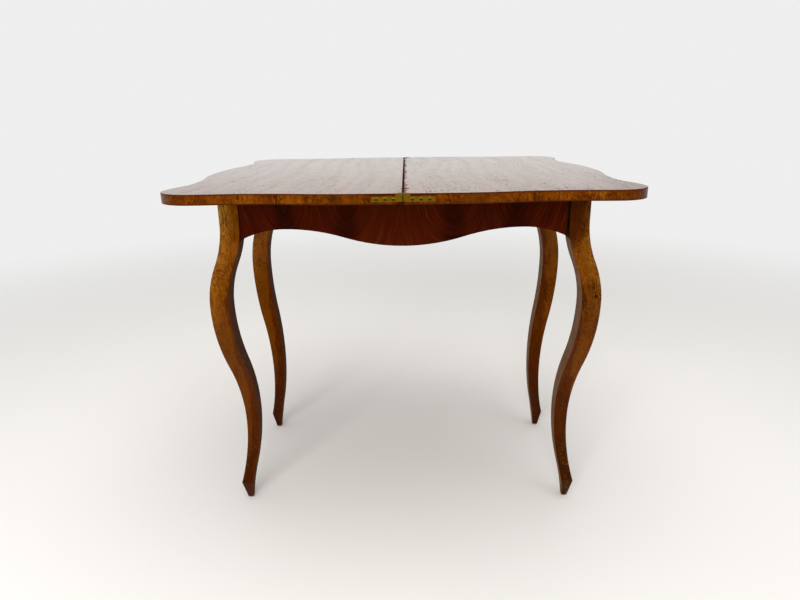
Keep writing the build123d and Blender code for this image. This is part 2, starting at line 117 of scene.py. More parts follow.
# Metals
BRASS = tone(0.165, 0.089, 0.003)
BRASS_TARNISH = tone(0.074, 0.035, 0.001)
STEEL = tone(0.34, 0.32, 0.30)
STEEL_TARNISH = tone(0.16, 0.12, 0.09)
IRON = tone(0.42, 0.41, 0.38)
IRON_TARNISH = tone(0.16, 0.14, 0.12)
SCREW_GROUND = tone(0.045, 0.024, 0.002)
SCREW_TARNISH = tone(0.014, 0.007, 0.001)
SCREW_HIGHLIGHT = tone(0.360, 0.260, 0.030)
SCREW_OUTLINE = tone(0.010, 0.005, 0.001)

# What the polish and the metals tint in a reflection
WHITE = tone(1.0, 1.0, 1.0)
WARM_SHINE = tone(1.0, 0.42, 0.05)
LEG_SHINE = tone(1.0, 0.33, 0.02)
RED_SHINE = tone(1.0, 0.25, 0.06)
BRASS_SHINE = tone(1.0, 0.72, 0.12)

FLOOR_COLOUR = tone(0.80, 0.78, 0.75)


class Tree:
    """Adds nodes to a shader tree and joins them."""

    def __init__(self, tree):
        self.tree = tree

    def add(self, kind, inputs=None, **settings):
        node = self.tree.nodes.new(kind)
        for name, value in settings.items():
            setattr(node, name, value)
        for name, value in (inputs or {}).items():
            self.put(node.inputs[name], value)
        return node

    def put(self, socket, value):
        if isinstance(value, bpy.types.NodeSocket):
            self.tree.links.new(value, socket)
        elif value is not None:
            socket.default_value = value

    def math(self, operation, *values):
        return self.add("ShaderNodeMath", dict(enumerate(values)), operation=operation).outputs[0]

    def chain(self, operation, first, *others):
        for other in others:
            first = self.math(operation, first, other)
        return first

    def plus(self, *values):
        return self.chain("ADD", *values)

    def times(self, *values):
        return self.chain("MULTIPLY", *values)

    def most(self, *values):
        return self.chain("MAXIMUM", *values)

    def least(self, *values):
        return self.chain("MINIMUM", *values)

    def minus(self, first, second):
        return self.math("SUBTRACT", first, second)

    def over(self, first, second):
        return self.math("DIVIDE", first, second)

    def size(self, value):
        return self.math("ABSOLUTE", value)

    def vmath(self, operation, *values):
        node = self.add("ShaderNodeVectorMath", operation=operation)
        for socket, value in zip(node.inputs, values):
            self.put(socket, value)
        return node.outputs[0]

    def step(self, value, start, end, low=0.0, high=1.0):
        """A smooth ramp of a value from one level to another."""
        node = self.add("ShaderNodeMapRange", {
            "Value": value, "From Min": start, "From Max": end, "To Min": low, "To Max": high,
        }, interpolation_type="SMOOTHSTEP")
        return node.outputs["Result"]

    def near(self, value, place, inner, outer, high=1.0):
        """A mask round a place, full up to the inner distance and gone at the outer one."""
        return self.step(self.size(self.minus(value, place)), inner, outer, high, 0.0)

    def pick(self, share, first, second):
        """One value shading into another by a share."""
        return self.add("ShaderNodeMix", {0: share, 2: first, 3: second}, data_type="FLOAT").outputs[0]

    def mix(self, share, first, second):
        """One colour laid over another by a share."""
        node = self.add("ShaderNodeMix", data_type="RGBA")
        for index, value in ((0, share), (6, first), (7, second)):
            self.put(node.inputs[index], value)
        return node.outputs[2]

    def lay(self, colour, *coats):
        """Coats of colour laid one over another, each by its own share."""
        for share, coat in coats:
            colour = self.mix(share, colour, coat)
        return colour

    def line(self, value, points):
        """A value read from a drawn line, between nothing and one."""
        node = self.add("ShaderNodeFloatCurve", {"Value": value})
        drawn = node.mapping.curves[0]
        drawn.points[0].location = points[0]
        drawn.points[1].location = points[-1]
        for at, level in points[1:-1]:
            drawn.points.new(at, level)
        node.mapping.update()
        return node.outputs["Value"]

    def profile(self, rise, rows, reach=1.0, middle=0.0):
        """A value read up a leg from rows of height and level, drawn as middle + level / reach."""
        value = self.line(rise, [(height / LEG_HEIGHT, middle + level / reach) for height, level in rows])
        if middle:
            value = self.minus(value, middle)
        return value if reach == 1.0 else self.times(value, reach)

    def split(self, vector):
        return self.add("ShaderNodeSeparateXYZ", {0: vector}).outputs

    def join(self, x, y, z):
        return self.add("ShaderNodeCombineXYZ", {0: x, 1: y, 2: z}).outputs[0]

    def noise(self, place, detail, roughness, distortion=0.0, size=None):
        """Noise at a place, which is divided by the size of its grains where one is given."""
        if size is not None:
            place = self.vmath("DIVIDE", place, size)
        node = self.add("ShaderNodeTexNoise", {
            "Vector": place, "Scale": 1.0, "Detail": detail, "Roughness": roughness, "Distortion": distortion,
        })
        return node.outputs["Fac"]

    def turn(self, place, about_x=0.0, about_y=0.0, about_z=0.0):
        angles = tuple(math.radians(angle) for angle in (about_x, about_y, about_z))
        return self.add("ShaderNodeMapping", {"Vector": place, "Rotation": angles}).outputs[0]

    def group(self, tree, **values):
        """An effect laid in this tree with its own values, an underscore standing for a space."""
        node = self.add("ShaderNodeGroup", node_tree=tree)
        for name, value in values.items():
            self.put(node.inputs[name.replace("_", " ")], value)
        return node.outputs

    def millimetres(self):
        """The place on the piece, in millimetres."""
        place = self.add("ShaderNodeTexCoord").outputs["Object"]
        return self.vmath("MULTIPLY", place, (1 / MM, 1 / MM, 1 / MM))

    def normal(self):
        """The way the surface faces, as the piece itself lies, so that it turns with the piece."""
        facing = self.add("ShaderNodeNewGeometry").outputs["Normal"]
        turned = self.add("ShaderNodeVectorTransform", {0: facing}, vector_type="NORMAL",
                          convert_from="WORLD", convert_to="OBJECT")
        return self.split(turned.outputs[0])

    def along(self, x, y):
        """The distance along an upright face: X, or Y on a face that looks to the left or right."""
        return self.pick(self.step(self.size(self.normal()[0]), 0.70, 0.72), x, y)


# Effects that several finishes share

def effect(name, inputs, outputs):
    """An empty node group with its sockets, and what fills it and ends it."""
    group = bpy.data.node_groups.new(name, "ShaderNodeTree")
    for label, kind, value in inputs:
        socket = group.interface.new_socket(label, in_out="INPUT", socket_type=kind)
        if value is not None:
            socket.default_value = value
    for label in outputs:
        group.interface.new_socket(label, in_out="OUTPUT", socket_type=FLOAT)
    tree = Tree(group)
    return group, tree, tree.add("NodeGroupInput").outputs, tree.add("NodeGroupOutput").inputs


def wood_grain():
    """Fibres, a slow figure and open pores, drawn out along Z of the place given."""
    group, tree, given, out = effect(
        "wood_grain",
        [("Place", VECTOR, None), ("Fibre Width", FLOAT, 0.8), ("Fibre Length", FLOAT, 60.0),
         ("Figure Size", FLOAT, 30.0), ("Bend", FLOAT, 1.0)],
        ["Fibres", "Figure", "Pores"],
    )
    figure_stretch, sway_reach, pore_share = 5.0, 12.0, (0.6, 0.6, 0.09)
    x, y, z = tree.split(given["Place"])
    figure_length = tree.times(given["Figure Size"], figure_stretch)
    slow = tree.join(given["Figure Size"], given["Figure Size"], figure_length)
    figure = tree.noise(given["Place"], 3.0, 0.5, 0.6, size=slow)
    sway = tree.times(tree.minus(figure, 0.5), given["Bend"], sway_reach)
    swayed = tree.join(tree.plus(x, sway), y, z)
    width = tree.join(given["Fibre Width"], given["Fibre Width"], given["Fibre Length"])
    fibres = tree.noise(swayed, 4.0, 0.6, size=width)
    pores = tree.noise(swayed, 1.0, 0.4, size=tree.vmath("MULTIPLY", width, pore_share))
    tree.put(out["Fibres"], tree.step(fibres, 0.3, 0.7))
    tree.put(out["Figure"], tree.step(figure, 0.3, 0.7))
    tree.put(out["Pores"], tree.step(pores, 0.62, 0.74))
    return group


def dark_flecks():
    """Short marks drawn out along Z and gathered in drifts, fewer where the level they must pass is high."""
    group, tree, given, out = effect(
        "dark_flecks",
        [("Place", VECTOR, None), ("Width", FLOAT, 1.2), ("Length", FLOAT, 5.0), ("Drift Size", FLOAT, 40.0),
         ("Drift Stretch", FLOAT, 1.6), ("Amount", FLOAT, 0.5)],
        ["Flecks", "Drifts"],
    )
    highest, reach, softness = 0.74, 0.24, 0.06
    size = tree.join(given["Width"], given["Width"], given["Length"])
    flecks = tree.noise(given["Place"], 1.5, 0.55, size=size)
    drift_length = tree.times(given["Drift Size"], given["Drift Stretch"])
    drift_size = tree.join(given["Drift Size"], given["Drift Size"], drift_length)
    drifts = tree.noise(given["Place"], 2.0, 0.5, size=drift_size)
    gathered = tree.times(given["Amount"], tree.step(drifts, 0.35, 0.65, 0.4, 1.0))
    level = tree.minus(highest, tree.times(gathered, reach))
    tree.put(out["Flecks"], tree.step(flecks, level, tree.plus(level, softness)))
    tree.put(out["Drifts"], tree.step(drifts, 0.3, 0.7))
    return group


def handling():
    """Dull smears and fine scratches left by hands and cloths."""
    group, tree, given, out = effect(
        "handling",
        [("Place", VECTOR, None), ("Smear Size", FLOAT, 60.0), ("Scratch Length", FLOAT, 40.0)],
        ["Smears", "Scratches"],
    )
    scratch_width, scratch_angle = 0.5, 34.0
    smear_size = tree.join(given["Smear Size"], given["Smear Size"], given["Smear Size"])
    smears = tree.noise(given["Place"], 5.0, 0.65, size=smear_size)
    scratch_size = tree.join(given["Scratch Length"], scratch_width, scratch_width)
    scratches = tree.noise(tree.turn(given["Place"], about_z=scratch_angle), 1.0, 0.5, size=scratch_size)
    tree.put(out["Smears"], tree.step(smears, 0.4, 0.7))
    tree.put(out["Scratches"], tree.step(scratches, 0.74, 0.8))
    return group


# How far a leg's middle swings out from its post, and half its width, by height. The reaches bring them
# between nothing and one, where a drawn line holds them
LEG_SWEEP = ((0, 12), (20, 13), (40, 13.6), (60, 10.3), (90, 3.9), (120, -1.1), (160, -5.5), (200, -7),
             (240, -5.7), (280, -1.4), (320, 5.7), (360, 15.2), (400, 22.5), (440, 26.8), (480, 28.3),
             (520, 25), (560, 15), (600, 4.2), (640, 0), (720, 0))
LEG_HALF = ((0, 7.2), (12, 7.6), (40, 12.4), (90, 12.7), (160, 13.9), (240, 15.7), (320, 18.2), (400, 19.8),
            (720, 20.5))
SWEEP_REACH = 80.0
WIDEST_HALF = 25.0


def leg_measure():
    """Where a point lies on an S-curved leg: from its inner face to its outer, up it, and at its corners."""
    group, tree, given, out = effect(
        "leg_measure",
        [("Place", VECTOR, None), ("Side X", FLOAT, 1.0), ("Side Y", FLOAT, 1.0)],
        ["Across", "Rise", "Arris"],
    )
    x, y, z = tree.split(given["Place"])
    rise = tree.over(z, LEG_HEIGHT)
    sweep = tree.profile(rise, LEG_SWEEP, SWEEP_REACH, 0.5)
    half = tree.profile(rise, LEG_HALF, WIDEST_HALF)
    across = tree.over(tree.minus(tree.times(x, given["Side X"]), tree.plus(sweep, POST_X)), half)
    deep = tree.over(tree.minus(tree.times(y, given["Side Y"]), tree.plus(sweep, POST_Y)), half)
    tree.put(out["Across"], across)
    tree.put(out["Rise"], rise)
    tree.put(out["Arris"], tree.step(tree.least(tree.size(across), tree.size(deep)), 0.84, 0.98))
    return group


grain = wood_grain()
flecks = dark_flecks()
handled = handling()
leg_place = leg_measure()


def new_material(name):
    """An empty material and its tree."""
    material = bpy.data.materials.new(name)
    material.use_nodes = True
    material.node_tree.nodes.clear()
    return material, Tree(material.node_tree)


def finish(tree, colour, roughness, height, bump, depth, **settings):
    """A Principled surface with its colour, roughness and relief, and further values by name."""
    surface = tree.add("ShaderNodeBsdfPrincipled", {"Base Color": colour, "Roughness": roughness})
    for name, value in settings.items():
        tree.put(surface.inputs[name.replace("_", " ")], value)
    relief = tree.add("ShaderNodeBump", {"Strength": bump, "Distance": depth, "Height": height})
    tree.put(surface.inputs["Normal"], relief.outputs[0])
    tree.put(tree.add("ShaderNodeOutputMaterial").inputs["Surface"], surface.outputs[0])


# The legs. Levels are shares of a leg's height, and the shifts give each leg and its scuffs their own grain

ANKLE, KNEE, SHOULDER = 0.06, 0.50, 0.85
APRON_LEVEL = (0.842, 0.850)
PALE_TOP_AND_SHEEN_LEVEL = (0.84, 0.92)
SCUFF_LEVEL = (0.28, 0.16)
HEART_SPAN = 3.2
LEG_SHIFT = (900.0, 700.0)
SCUFF_SHIFT = (310.0, 0.0, 90.0)
UNSHADED = ((0, 0.0), (720, 0.0))


def leg_colour(tree, at, fibre, heart, golden, pale_top_and_sheen):
    """Polished wood, golden outside and at the top, with its dark heartwood, and how low on the leg it is."""
    across, rise = at["Across"], at["Rise"]
    ragged = tree.times(tree.minus(fibre["Figure"], 0.5), 0.55)
    edge = tree.profile(rise, heart, HEART_SPAN, 0.5)
    soft = tree.step(rise, 0.76, 0.84, 0.16, 0.7)
    past_edge = tree.plus(tree.minus(across, edge), ragged)
    dark = tree.step(past_edge, tree.times(soft, -1.0), soft, 1.0, 0.0)
    outer = tree.step(tree.plus(across, ragged), -0.3, 0.9)
    # Darker towards the foot and more golden towards the top, partly the wood's own tone and partly painted
    # shade
    upper = tree.step(rise, KNEE, SHOULDER)
    low = tree.step(rise, KNEE, ANKLE)
    bright_fibres = tree.step(fibre["Fibres"], 0.1, 0.9, 0.2, 1.0)
    polish = tree.lay(
        AMBER,
        (tree.times(bright_fibres, tree.step(upper, 0.0, 1.0, 0.12, golden)), GOLDEN),
        (tree.times(outer, upper, 0.9 * golden), TAN),
        # A pale tan at the outer top, partly the wood's own tone and partly a painted sheen
        (tree.times(outer, tree.step(rise, *PALE_TOP_AND_SHEEN_LEVEL), pale_top_and_sheen), PALE_TAN_AND_SHEEN),
        (tree.step(fibre["Figure"], 0.45, 1.0, 0.0, 0.6), AMBER),
        (tree.step(fibre["Fibres"], 0.35, 0.1, 0.0, 0.3), RED_BROWN),
        (tree.times(low, tree.step(low, 0.5, 0.9, 0.7, 1.0)), RED_BROWN),
        (tree.times(low, tree.step(fibre["Fibres"], 0.35, 0.75), 0.7), EMBER),
    )
    heartwood = tree.lay(
        RED_BROWN,
        (tree.step(fibre["Fibres"], 0.2, 0.9, 0.0, 0.6), DARK_RED),
        (tree.step(fibre["Figure"], 0.5, 1.0, 0.0, 0.35), AMBER),
        (tree.times(low, 0.92), EMBER),
    )
    return tree.mix(dark, polish, heartwood), low


def leg_wood(name, side_x, side_y, heart, freckled, inner_brown, inner_dullness, golden,
             pale_top_and_sheen=0.0, scuffed=0.0, shaded=UNSHADED):
    """A polished leg, flecked all over, plain on its inner face and scuffed at the foot."""
    material, tree = new_material(name)
    place = tree.millimetres()
    own = tree.vmath("ADD", place, (side_x * LEG_SHIFT[0], side_y * LEG_SHIFT[1], 0.0))
    at = tree.group(leg_place, Place=place, Side_X=float(side_x), Side_Y=float(side_y))
    across, rise = at["Across"], at["Rise"]
    fibre = tree.group(grain, Place=own, Fibre_Width=2.0, Fibre_Length=55.0, Figure_Size=15.0, Bend=0.5)
    streaks = tree.group(flecks, Place=own, Width=1.4, Length=10.0, Drift_Size=26.0, Amount=1.12)
    spots = tree.group(flecks, Place=own, Width=1.6, Length=5.0, Drift_Size=20.0, Amount=1.10)
    scuffs = tree.group(flecks, Place=tree.vmath("ADD", own, SCUFF_SHIFT), Width=1.7, Length=4.0,
                        Drift_Size=14.0, Amount=0.85)
    colour, low = leg_colour(tree, at, fibre, heart, golden, pale_top_and_sheen)
    scuff_share = tree.times(scuffs["Flecks"], tree.step(rise, *SCUFF_LEVEL),
                             tree.step(across, -0.6, 0.3, 0.3, scuffed))
    # Darkened by height as shaded gives, partly in painted shade, then streaked, spotted and scuffed
    colour = tree.lay(
        colour,
        (tree.profile(rise, shaded), FLECK),
        (tree.times(streaks["Flecks"], 0.75), tree.mix(low, DARK_RED, FLECK)),
        (tree.times(spots["Flecks"], tree.profile(rise, freckled), 0.9), FLECK),
        (scuff_share, SCUFFED),
    )
    # The faces towards the knee space were never polished, and beside the apron they are painted black as
    # shade
    plain = tree.step(tree.times(tree.normal()[0], -side_x), 0.45, 0.85)
    painted_shade_by_apron = tree.times(plain, tree.step(rise, *APRON_LEVEL))
    bare = tree.mix(tree.times(fibre["Fibres"], 0.6), inner_brown, DARK_RED)
    colour = tree.lay(
        colour,
        (tree.times(at["Arris"], tree.step(fibre["Fibres"], 0.2, 0.8, 0.35, 0.75)), RED_BROWN),
        (tree.times(plain, 0.9), bare),
        (painted_shade_by_apron, SHADOWED),
    )
    polish_dullness = tree.step(spots["Drifts"], 0.0, 1.0, 0.26, 0.38)
    rough = tree.plus(polish_dullness, tree.times(plain, inner_dullness), tree.times(painted_shade_by_apron, 0.4))
    pits = tree.plus(fibre["Pores"], streaks["Flecks"])
    height = tree.minus(tree.times(fibre["Fibres"], 0.3), pits)
    coat = tree.times(tree.step(plain, 0.0, 1.0, 0.05, 0.0), tree.step(rise, 0.3, 0.8))
    finish(tree, colour, rough, height, bump=0.3, depth=0.0002, Coat_Weight=coat, Coat_Roughness=0.14,
           Specular_IOR_Level=0.25, Specular_Tint=LEG_SHINE)
    return material


# The playing and show faces of the leaves

OTHER_LEAF = 500.0
ARC_WIDTH, ARC_LENGTH, ARC_SWING = 420.0, 520.0, 150.0
GAP_FRONT, GAP_REAR, GAP_SOFTNESS = 0.9, 1.7, 0.5
# Dark marks across the joint: X and Y, each with the distances at which the mark is full and gone
CROSS_MARKS = (((3.0, 6.0, 8.0), (-352.0, 4.0, 7.0)), ((8.0, 7.0, 9.0), (400.0, 8.0, 12.0)))


def joint_wear(tree, place, x, y, z):
    """Veneer lost along the right side of the joint, and a dark line along the joint, partly dirt rubbed into
    it and partly painted shade of the gap, with dark marks across it, on the playing side alone.
    """
    playing = tree.step(z, LEAF_FACE - 5.0, LEAF_FACE - 3.0)
    chip_shape = tree.noise(place, 2.0, 0.6, size=(3.0, 16.0, 4.0))
    chip_run = tree.noise(tree.join(0.0, tree.over(y, 90.0), 5.0), 1.0, 0.5)
    chip_reach = tree.times(tree.step(x, 0.5, 12.0, 0.60, 0.30), tree.step(chip_run, 0.3, 0.6, 0.78, 1.08))
    lost = tree.step(tree.minus(chip_reach, chip_shape), 0.0, 0.04)
    chips = tree.times(lost, tree.step(x, 0.0, 0.4), playing)
    gap = tree.step(y, -FRONT_EDGE, FRONT_EDGE, GAP_FRONT, GAP_REAR)
    dirt_and_gap_shade = tree.step(tree.size(x), gap, tree.plus(gap, GAP_SOFTNESS), 1.0, 0.0)
    for across, along in CROSS_MARKS:
        dirt_and_gap_shade = tree.most(dirt_and_gap_shade, tree.times(tree.near(y, *along), tree.near(x, *across)))
    return chips, tree.times(dirt_and_gap_shade, playing)


def top_veneer():
    """Polished veneer of the leaves, its grain along the joint and its figure mirrored across it."""
    material, tree = new_material("top_veneer_polished")
    place = tree.millimetres()
    x, y, z = tree.split(place)
    fold = tree.size(x)
    # The figure swings out in wide arcs on either side of the joint
    arcs = tree.noise(tree.join(tree.over(fold, ARC_WIDTH), tree.over(y, ARC_LENGTH), 2.0), 1.0, 0.4)
    swung = tree.plus(fold, tree.times(tree.minus(arcs, 0.5), ARC_SWING))
    leaf_place = tree.join(swung, tree.step(x, -0.5, 0.5, 0.0, OTHER_LEAF), y)
    fibre = tree.group(grain, Place=leaf_place, Fibre_Width=2.2, Fibre_Length=120.0, Figure_Size=30.0,
                       Bend=2.0)
    broad = tree.noise(tree.join(tree.over(swung, 26.0), 7.0, tree.over(y, 1100.0)), 4.0, 0.6)
    marks = tree.group(flecks, Place=leaf_place, Width=1.5, Length=24.0, Drift_Size=30.0, Drift_Stretch=9.0,
                       Amount=0.76)
    worn = tree.group(handled, Place=place, Smear_Size=90.0, Scratch_Length=45.0)
    chips, dirt_and_gap_shade = joint_wear(tree, place, x, y, z)
    # The cut edges of the veneer are dark and unpolished, and so is all of it but its outer faces
    facing = tree.normal()[2]
    foot = LEAF_FACE - LEAF_THICKNESS
    over = tree.times(tree.step(facing, 0.90, 0.98), tree.step(z, LEAF_FACE - 0.6, LEAF_FACE - 0.3))
    under = tree.times(tree.step(facing, -0.90, -0.98), tree.step(z, foot + 0.6, foot + 0.3))
    rim = tree.minus(1.0, tree.most(over, under))
    colour = tree.lay(
        TOP_GROUND,
        (tree.step(fibre["Fibres"], 0.1, 0.9, 0.0, 0.65), TOP_FIBRE),
        (tree.step(broad, 0.42, 0.66, 0.0, 0.6), TOP_SHADE),
        (tree.step(fibre["Figure"], 0.5, 1.0, 0.0, 0.35), TOP_GLOW),
        (tree.times(marks["Flecks"], 0.8), TOP_FLECK),
        (tree.times(chips, 0.85), TOP_CHIP),
        (dirt_and_gap_shade, TOP_DIRT_AND_SHADE),
        (tree.times(rim, 0.85), DARK_RED),
    )
    dull = tree.most(tree.times(chips, 0.9), dirt_and_gap_shade, rim)
    rough = tree.plus(tree.step(worn["Smears"], 0.0, 1.0, 0.26, 0.30), tree.times(dull, 0.4))
    pits = tree.plus(marks["Flecks"], tree.times(fibre["Pores"], 0.7), tree.times(chips, 2.5))
    height = tree.minus(tree.times(fibre["Fibres"], 0.12), pits)
    # The flecks lie open in the polish, and most of all near the front edge
    open_flecks = tree.times(marks["Flecks"], tree.step(y, -80.0, -380.0, 0.40, 0.80))
    coat = tree.times(
        tree.minus(1.0, open_flecks),
        tree.step(broad, 0.38, 0.64, 1.0, 0.90),
        tree.minus(1.0, dull),
    )
    finish(tree, colour, rough, height, bump=0.12, depth=0.0002, Coat_Weight=coat, Coat_Roughness=0.07,
           Specular_IOR_Level=0.05)
    return material


# The band round the leaves, and its butt joints: place, darkness of the line, and how much lighter the
# band is to the right of it

SEAMS = ((-207.0, 1.0, 0.35), (-117.0, 0.5, 0.0), (213.0, 0.6, 0.0), (254.0, 0.45, 0.2))
BAND_LEAN = 10.0


def edge_band():
    """Cross-grained band round the leaves, its fibres upright, laid in lengths that differ in tone."""
    material, tree = new_material("edge_band_polished")
    place = tree.millimetres()
    x, y, z = tree.split(place)
    run = tree.along(x, y)
    aside = tree.size(x)
    leaning = tree.turn(place, about_y=BAND_LEAN)
    fibre = tree.group(grain, Place=leaning, Fibre_Width=1.5, Fibre_Length=18.0, Figure_Size=11.0, Bend=0.3)
    marks = tree.group(flecks, Place=leaning, Width=1.5, Length=5.5, Drift_Size=26.0, Amount=1.12)
    slow = tree.noise(tree.join(tree.over(run, 60.0), 0.0, 3.0), 2.0, 0.5)
    cloudy = tree.noise(leaning, 3.0, 0.6, size=(9.0, 9.0, 8.0))
    colour = tree.lay(
        BAND_GROUND,
        (tree.step(fibre["Fibres"], 0.1, 0.9, 0.0, 0.8), BAND_FIBRE),
        (tree.step(slow, 0.48, 0.62, 0.0, 0.55), BAND_DARK),
        (tree.step(slow, 0.48, 0.36, 0.0, 0.6), BAND_LIGHT),
        (tree.step(cloudy, 0.52, 0.72, 0.0, 0.7), CLOUD_LIGHT),
        (tree.step(cloudy, 0.46, 0.30, 0.0, 0.7), CLOUD_DARK),
    )
    for at, darkness, lighter in SEAMS:
        past = tree.minus(run, at)
        lifted = tree.times(tree.step(past, 0.0, 45.0, lighter, 0.0), tree.step(past, -0.2, 0.2))
        colour = tree.lay(colour, (lifted, GOLDEN), (tree.near(run, at, 0.7, 1.6, darkness), FLECK))
    # Redder by the hinge, at the ends and along both rims, brown in a patch, and dark in a spot under the
    # hinge.
    # The lip under the leaf's edge, deeper beside the hinge arms, and the foot over the apron are darkened
    # with painted shadow
    foot_level = LEAF_FACE - LEAF_THICKNESS
    by_hinge = tree.step(aside, 60.0, 150.0, 0.75, 0.0)
    patch = tree.near(aside, 118.0, 12.0, 22.0, 0.6)
    rims = tree.step(tree.size(tree.minus(z, LEAF_FACE - LEAF_THICKNESS / 2)), 4.0, 8.5, 0.0, 0.55)
    ends = tree.step(aside, 290.0, 400.0, 0.0, 0.45)
    beside = tree.step(aside, ARM_REACH, ARM_REACH + 3.0, 1.0, 0.0)
    lip = tree.step(z, tree.minus(LEAF_FACE - 2.2, tree.times(beside, 2.6)), LEAF_FACE - 1.2)
    spot = tree.times(tree.near(x, -3.0, 4.0, 9.0), tree.step(z, LEAF_FACE - 12.0, LEAF_FACE - 15.0))
    foot = tree.step(z, foot_level + 1.0, foot_level + 2.4, 1.0, 0.0)
    rim = tree.most(lip, foot)
    colour = tree.lay(
        colour,
        (tree.times(by_hinge, tree.step(fibre["Figure"], 0.1, 0.7)), RED_BROWN),
        (patch, BAND_PATCH),
        (rims, RED_BROWN),
        (ends, RED_BROWN),
        (tree.times(marks["Flecks"], 0.85), DARK_RED),
        (tree.times(rim, 0.9), DARK_RED),
        (tree.times(beside, lip, 0.8), FLECK),
        (spot, FLECK),
    )
    rough = tree.plus(tree.step(fibre["Figure"], 0.0, 1.0, 0.26, 0.36), tree.times(foot, 0.4))
    height = tree.minus(tree.times(fibre["Fibres"], 0.3), marks["Flecks"])
    coat = tree.step(rim, 0.0, 1.0, 0.06, 0.0)
    finish(tree, colour, rough, height, bump=0.25, depth=0.0002, Coat_Weight=coat, Coat_Roughness=0.14,
           Specular_IOR_Level=0.25, Specular_Tint=WARM_SHINE)
    return material


# The veneer of the aprons. Its middle seam stands a little to the left, and the outer seams one match from
# it. A plume stands off each outer seam on both sides, leans, and bends the figure into cups. FRONT_FACE is
# where the front apron begins along Y

SEAM_SHIFT = 8.0
MATCH = 171.0
PLUME = 62.0
PLUME_LEAN = -0.09
CUP_REACH, CUP_DEPTH = -34.0, 1.9
FRONT_FACE = (-150.0, -160.0)


def apron_veneer():
    """Dark crotch mahogany, four leaves matched in mirror pairs, each with a dark plume."""
    material, tree = new_material("apron_veneer_polished")
    x, y, z = tree.split(tree.millimetres())
    run = tree.along(tree.plus(x, SEAM_SHIFT), y)
    leaf = tree.size(tree.minus(tree.size(run), MATCH))
    rise = tree.minus(z, APRON_MIDDLE)
    drift = tree.noise(tree.join(tree.over(run, 70.0), 0.0, tree.over(z, 45.0)), 2.0, 0.5)
    sway = tree.times(tree.minus(drift, 0.5), 26.0)
    lean = tree.times(rise, PLUME_LEAN)
    off = tree.size(tree.plus(tree.minus(leaf, PLUME), lean, tree.times(sway, 0.4)))
    # The figure hangs in cups at the plume and runs upright away from it
    cup = tree.math("EXPONENT", tree.over(off, CUP_REACH))
    lines = tree.plus(tree.minus(off, tree.times(rise, cup, CUP_DEPTH)), tree.times(sway, cup))
    wave_place = tree.join(tree.over(lines, 9.0), tree.over(rise, 150.0), tree.over(run, 200.0))
    wave = tree.noise(wave_place, 4.0, 0.62, 0.3)
    fine_place = tree.join(tree.over(lines, 2.0), tree.over(rise, 90.0), tree.over(run, 120.0))
    fine = tree.noise(fine_place, 3.0, 0.6)
    spread = tree.over(off, tree.step(z, 590.0, 700.0, 40.0, 27.0))
    heart = tree.times(tree.step(spread, 0.25, 1.0, 1.0, 0.0), tree.step(wave, 0.25, 0.62, 1.0, 0.6))
    middle = tree.step(tree.size(run), 40.0, 130.0, 1.0, 0.0)
    glow = tree.times(tree.step(fine, 0.46, 0.30), tree.step(middle, 0.0, 1.0, 0.5, 0.9))
    seam = tree.step(tree.least(leaf, tree.size(run)), 0.3, 0.8, 0.5, 0.0)
    # The right end of the front apron stands open, and its cut edge is painted black as the shade of the gap
    painted_gap_shade = tree.step(tree.times(x, tree.step(y, *FRONT_FACE)), APRON_END - 2.0, APRON_END - 1.0)
    colour = tree.lay(
        CROTCH_GROUND,
        (tree.step(wave, 0.36, 0.66), CROTCH_WAVE),
        (tree.times(middle, 0.4), CROTCH_MIDDLE),
        (tree.step(fine, 0.40, 0.72, 0.0, 0.5), CROTCH_LINE),
        (glow, CROTCH_GLOW),
        (tree.times(heart, 0.95), CROTCH_PLUME),
        (seam, CROTCH_SEAM),
        (painted_gap_shade, SHADOWED),
    )
    finish(tree, colour, 0.34, fine, bump=0.08, depth=0.0001, Coat_Weight=0.05, Coat_Roughness=0.16,
           Specular_IOR_Level=0.18, Specular_Tint=RED_SHINE)
    return material


def raw_pine(name, dirt_and_shade_reach=None, dirt_and_shade_colours=(SHADOWED, SHADOWED), **turned):
    """Unpolished softwood, darkened by age, its fibres along one axis. In an open joint it is darkened, from
    nothing to wholly between two distances from the middle: with painted shade unless grime colours are
    given."""
    material, tree = new_material(name)
    place = tree.millimetres()
    fibre = tree.group(grain, Place=tree.turn(place, **turned), Fibre_Width=2.2, Fibre_Length=180.0,
                       Figure_Size=22.0, Bend=1.6)
    stain = tree.group(handled, Place=place, Smear_Size=110.0, Scratch_Length=30.0)
    colour = tree.lay(
        PINE_LIGHT,
        (tree.step(fibre["Fibres"], 0.1, 0.9, 0.1, 0.9), PINE_DARK),
        (tree.step(fibre["Figure"], 0.4, 1.0, 0.0, 0.5), PINE_DARK),
        (tree.times(stain["Smears"], 0.35), PINE_STAIN),
    )
    if dirt_and_shade_reach:
        dirt_and_shade_colour = tree.mix(tree.step(fibre["Fibres"], 0.2, 0.9), *dirt_and_shade_colours)
        colour = tree.mix(tree.step(tree.size(tree.split(place)[0]), *dirt_and_shade_reach), colour, dirt_and_shade_colour)
    rough = tree.step(stain["Smears"], 0.0, 1.0, 0.62, 0.78)
    finish(tree, colour, rough, fibre["Fibres"], bump=0.3, depth=0.0003)
    return material


